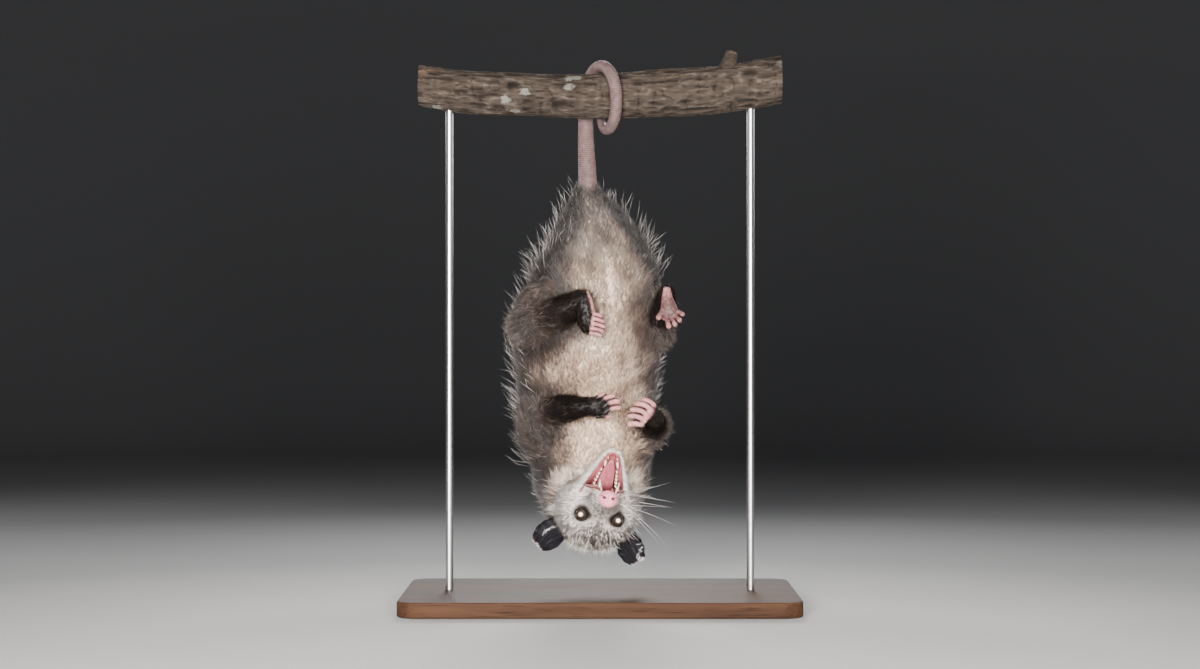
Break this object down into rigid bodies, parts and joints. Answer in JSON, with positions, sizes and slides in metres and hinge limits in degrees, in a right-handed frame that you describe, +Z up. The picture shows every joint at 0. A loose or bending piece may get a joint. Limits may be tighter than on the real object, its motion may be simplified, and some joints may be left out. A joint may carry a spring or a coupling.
{
  "type": "hanging opossum model",
  "caption": "Life-size opossum hanging head down by its tail from a cut length of branch, mouth open, on a plain stand.",
  "frame": {"origin": "middle of the underside of the stand's base, on the floor", "axes": "+Z up; the animal's belly and face look along -Y; its own left side is towards -X; the branch runs along X"},
  "size_m": [0.41, 0.252, 0.5819],
  "materials": {
    "fur_grey": "long coarse coat, grey-brown underfur with silver guard hair",
    "fur_dark": "short dense dark brown fur of the legs",
    "fur_white": "short white to pale grey fur of the face",
    "skin_pink": "naked pink skin, finely ringed on the tail",
    "mouth_pink": "moist pink tongue",
    "ear_black": "thin naked blue-black ear skin with pale tips",
    "eye_black": "polished dark eye",
    "bark": "rough grey-brown bark, sawn ends",
    "stand_wood": "plain dark satin wood",
    "stand_steel": "plain satin steel rod"
  },
  "bodies": {
    "root": {"stand_base": "stand_wood", "stand_rod_left": "stand_steel", "stand_rod_right": "stand_steel", "perch": "bark", "tail_base": "skin_pink", "tail_riser": "skin_pink", "tail_crest": "skin_pink", "tail_front": "skin_pink", "tail_tip": "skin_pink", "torso": "fur_grey", "neck": "fur_grey", "head": "fur_white", "nose": "skin_pink", "lower_jaw": "fur_white", "tongue": "mouth_pink", "eye_left": "eye_black", "eye_right": "eye_black", "ear_left": "ear_black", "ear_right": "ear_black", "upper_arm_left": "fur_grey", "forearm_left": "fur_dark", "hand_left": "skin_pink", "upper_arm_right": "fur_grey", "forearm_right": "fur_dark", "hand_right": "skin_pink", "thigh_left": "fur_grey", "shin_left": "fur_dark", "foot_left": "skin_pink", "thigh_right": "fur_grey", "shin_right": "fur_dark", "foot_right": "skin_pink"}
  },
  "joints": []
}
